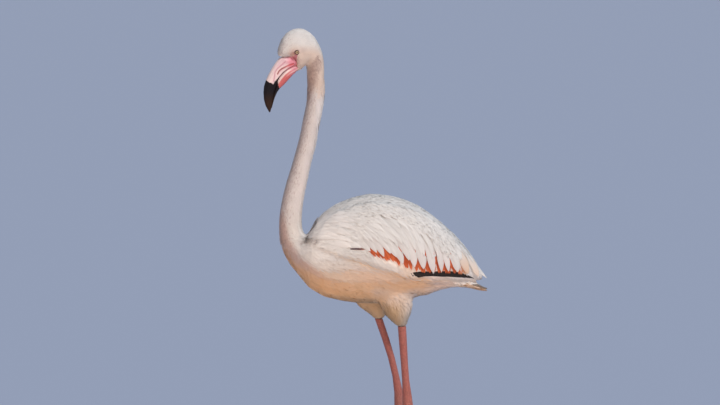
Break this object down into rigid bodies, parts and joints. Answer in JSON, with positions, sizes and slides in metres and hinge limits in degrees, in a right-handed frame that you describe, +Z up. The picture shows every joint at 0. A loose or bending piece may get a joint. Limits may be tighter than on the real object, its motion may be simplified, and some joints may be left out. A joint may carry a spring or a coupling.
{
  "type": "greater flamingo",
  "caption": "Standing long-legged wading bird with a raised S-curved neck, down-bent bill, folded wings and webbed feet.",
  "frame": {"origin": "on the floor under the middle of the bird's bounding box", "axes": "+Z up, the bird faces -X and its left side is -Y"},
  "size_m": [0.509, 0.187, 1.18],
  "materials": {
    "plumage": "soft white body feathers with a faint pink and warm tan tint",
    "wing_plumage": "long white wing feathers over red-orange coverts and black flight feathers",
    "leg_skin": "pink-red scaly leg skin",
    "bill": "satin horn, pale pink with a black tip",
    "bill_lower": "satin horn, rose pink with a black tip",
    "eye": "wet pale yellow iris with a dark pupil",
    "claw": "dark horn"
  },
  "bodies": {
    "root": {"neck_upper": "plumage", "neck_middle": "plumage", "neck_lower": "plumage", "trunk": "plumage", "tail": "plumage", "head": "plumage", "wing_left": "wing_plumage", "thigh_left": "plumage", "eye_left": "eye", "tibia_left": "leg_skin", "hock_left": "leg_skin", "tarsus_left": "leg_skin", "foot_left": "leg_skin", "claw_inner_left": "claw", "claw_middle_left": "claw", "claw_outer_left": "claw", "claw_hind_left": "claw", "wing_right": "wing_plumage", "thigh_right": "plumage", "eye_right": "eye", "tibia_right": "leg_skin", "hock_right": "leg_skin", "tarsus_right": "leg_skin", "foot_right": "leg_skin", "claw_inner_right": "claw", "claw_middle_right": "claw", "claw_outer_right": "claw", "claw_hind_right": "claw", "bill_upper": "bill", "bill_lower": "bill_lower"}
  },
  "joints": []
}
